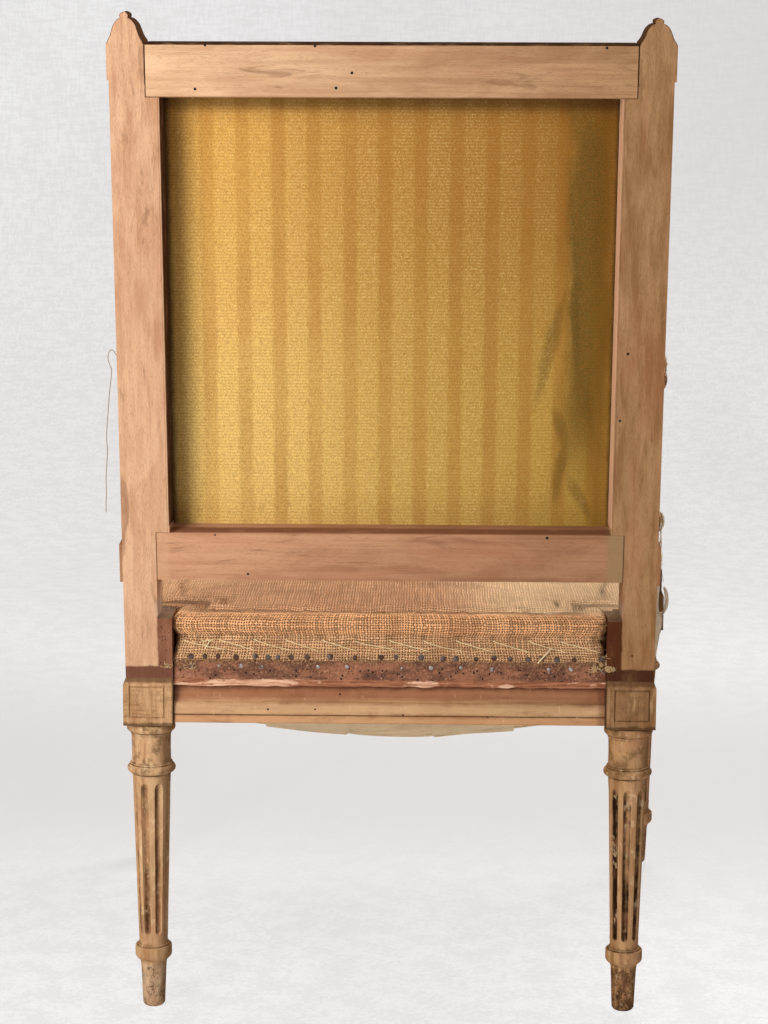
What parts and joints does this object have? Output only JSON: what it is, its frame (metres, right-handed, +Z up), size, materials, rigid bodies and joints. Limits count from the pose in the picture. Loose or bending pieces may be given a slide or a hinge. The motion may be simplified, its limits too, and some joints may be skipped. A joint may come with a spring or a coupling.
{
  "type": "upholstered armchair",
  "caption": "Open-arm fauteuil with turned fluted legs, square back and moulded seat rails, stripped to its burlap stuffing, with a striped velvet outside back.",
  "frame": {"origin": "on the floor under the middle of the chair's outer box", "axes": "+Z up; the chair faces -Y, so a sitter looks along -Y; +X is the sitter's left"},
  "size_m": [0.6748, 0.6448, 1.0263],
  "materials": {
    "beech": "stripped bare beech, dry, with brown tack zones",
    "beech_worn": "stripped beech with old dark patina in the grooves",
    "hessian": "coarse burlap, stitched and tacked",
    "jute_webbing": "plain jute webbing",
    "velvet": "mustard cut velvet with upright stripes",
    "spring_steel": "dull, lightly rusted wire",
    "thread": "frayed linen thread"
  },
  "bodies": {
    "root": {"rear_post_left": "beech", "rear_post_right": "beech", "arm_left": "beech", "arm_right": "beech", "arm_support_left": "beech", "arm_support_right": "beech", "back_bottom_rail": "beech", "back_top_rail": "beech", "front_leg_left": "beech_worn", "front_leg_right": "beech_worn", "seat_rail_rear": "beech_worn", "seat_rail_front": "beech_worn", "seat_rail_left": "beech_worn", "seat_rail_right": "beech_worn", "corner_block_rear_left": "beech_worn", "corner_block_rear_right": "beech_worn", "corner_block_front_left": "beech_worn", "corner_block_front_right": "beech_worn", "spring_canvas": "hessian", "seat_stuffing": "hessian", "back_stuffing": "hessian", "arm_pad_left": "hessian", "arm_pad_right": "hessian", "seat_strap_lengthwise_1": "jute_webbing", "seat_strap_lengthwise_2": "jute_webbing", "seat_strap_lengthwise_3": "jute_webbing", "seat_strap_lengthwise_4": "jute_webbing", "seat_strap_lengthwise_5": "jute_webbing", "seat_strap_crosswise_1": "jute_webbing", "seat_strap_crosswise_2": "jute_webbing", "seat_strap_crosswise_3": "jute_webbing", "seat_strap_crosswise_4": "jute_webbing", "seat_strap_crosswise_5": "jute_webbing", "back_strap_upright_1": "jute_webbing", "back_strap_upright_2": "jute_webbing", "back_strap_level_1": "jute_webbing", "back_strap_level_2": "jute_webbing", "spring_1_1": "spring_steel", "spring_1_2": "spring_steel", "spring_1_3": "spring_steel", "spring_2_1": "spring_steel", "spring_2_2": "spring_steel", "spring_2_3": "spring_steel", "spring_3_1": "spring_steel", "spring_3_2": "spring_steel", "spring_3_3": "spring_steel", "outside_back_panel": "velvet", "loose_thread": "thread"}
  },
  "joints": []
}
